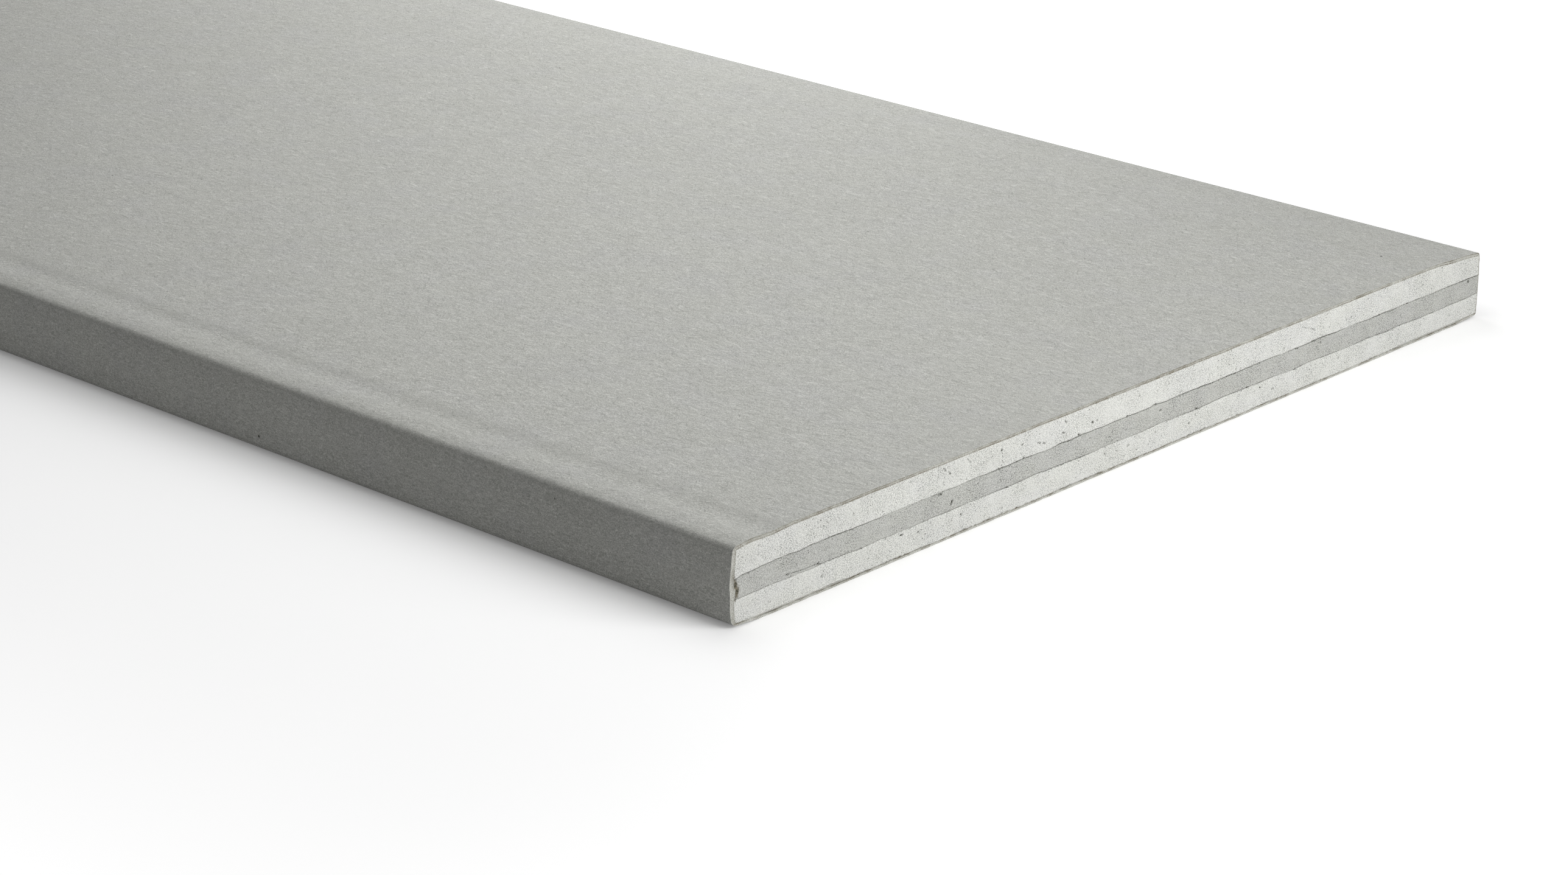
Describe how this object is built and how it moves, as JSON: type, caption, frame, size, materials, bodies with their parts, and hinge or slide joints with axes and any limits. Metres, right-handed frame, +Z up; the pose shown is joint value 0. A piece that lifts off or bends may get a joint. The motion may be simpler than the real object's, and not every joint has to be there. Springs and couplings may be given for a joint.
{
  "type": "drywall sheet",
  "caption": "Flat gypsum board with paper wrapped round its long edges, a back paper and a core poured in three bands, cut square at both ends.",
  "frame": {"origin": "middle of the back, on the plane the sheet rests on", "axes": "+X along the sheet, +Y across it, +Z up out of the face"},
  "size_m": [1.2, 0.187, 0.0125],
  "materials": {
    "face_paper": "matte",
    "white_gypsum": "matte",
    "grey_gypsum": "matte",
    "back_paper": "matte"
  },
  "bodies": {
    "root": {"face_paper": "face_paper", "core_upper": "white_gypsum", "core_middle": "grey_gypsum", "core_lower": "white_gypsum", "back_paper": "back_paper"}
  },
  "joints": []
}
